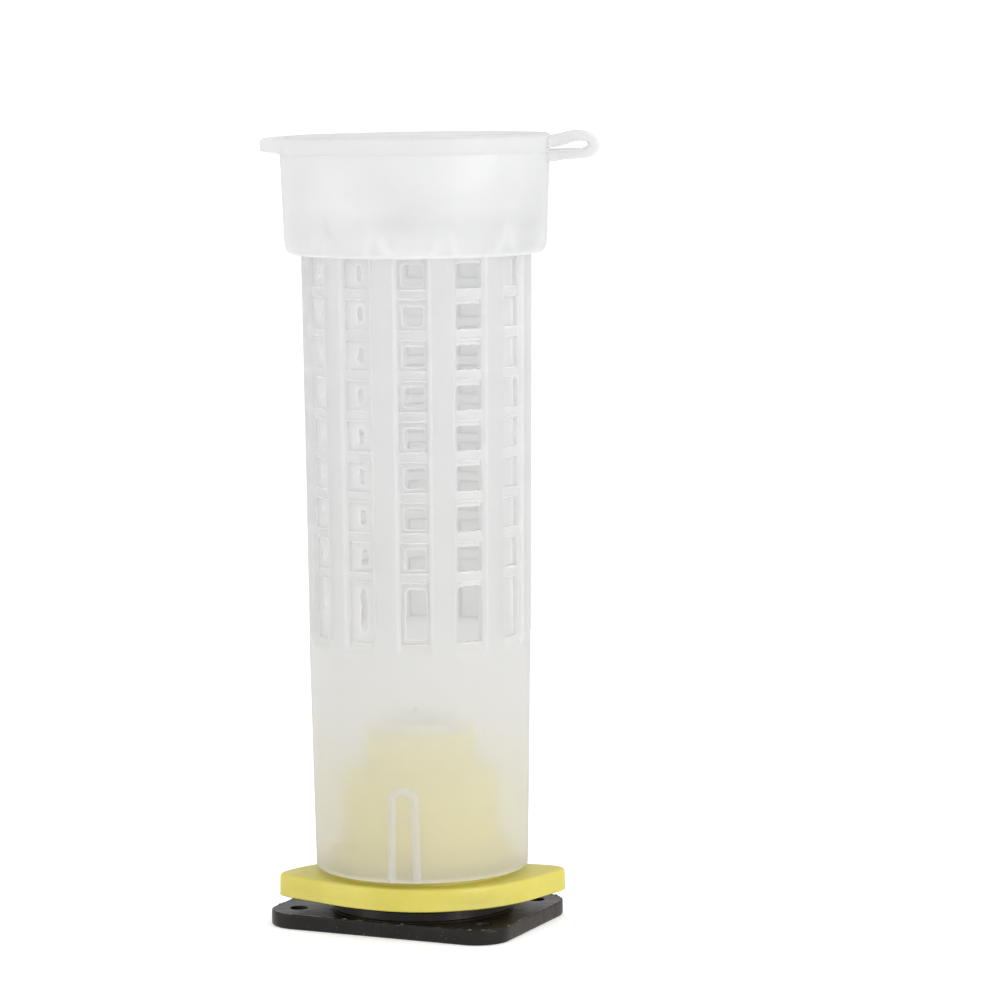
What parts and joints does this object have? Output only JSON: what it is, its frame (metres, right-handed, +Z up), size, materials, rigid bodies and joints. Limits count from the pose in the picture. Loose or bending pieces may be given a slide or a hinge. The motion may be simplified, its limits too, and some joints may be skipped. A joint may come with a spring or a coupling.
{
  "type": "queen rearing cage",
  "caption": "Frosted slotted tube cage with a hinged snap lid, sitting on a yellow queen cell cup holder plugged into a black nail-on mounting plate.",
  "frame": {"origin": "centre of the tube axis on the underside of the mounting plate", "axes": "+Z up along the tube, +X towards the lid's hinge, -X towards the lid's finger tab; the mounting plate is turned about Z by -25.6 degrees, as it happens to be plugged in"},
  "size_m": [0.033, 0.0266, 0.0783],
  "materials": {
    "frosted_plastic": "frosted, slightly see-through polypropylene",
    "yellow_plastic": "satin moulded",
    "cup_plastic": "smooth moulded",
    "black_plastic": "satin moulded, lightly scuffed"
  },
  "bodies": {
    "base": {"mounting_base": "black_plastic"},
    "holder": {"cup_holder": "yellow_plastic"},
    "cup": {"cell_cup": "cup_plastic"},
    "cage": {"cage": "frosted_plastic", "hinge_strap": "frosted_plastic"},
    "lid": {"lid": "frosted_plastic"}
  },
  "joints": [
    {"name": "holder_unplug", "type": "slide", "parent": "base", "child": "holder", "axis": [0, 0, 1], "range_m": [0, 0.008]},
    {"name": "cup_pull_out", "type": "slide", "parent": "holder", "child": "cup", "axis": [0, 0, 1], "range_m": [0, 0.01]},
    {"name": "cage_lift_off", "type": "slide", "parent": "holder", "child": "cage", "axis": [0, 0, 1], "range_m": [0, 0.03]},
    {"name": "lid_hinge", "type": "hinge", "parent": "cage", "child": "lid", "pos_m": [0.0175, 0, 0.07697], "axis": [0, 1, 0], "range_deg": [0, 170], "deforming": ["hinge_strap"]}
  ]
}
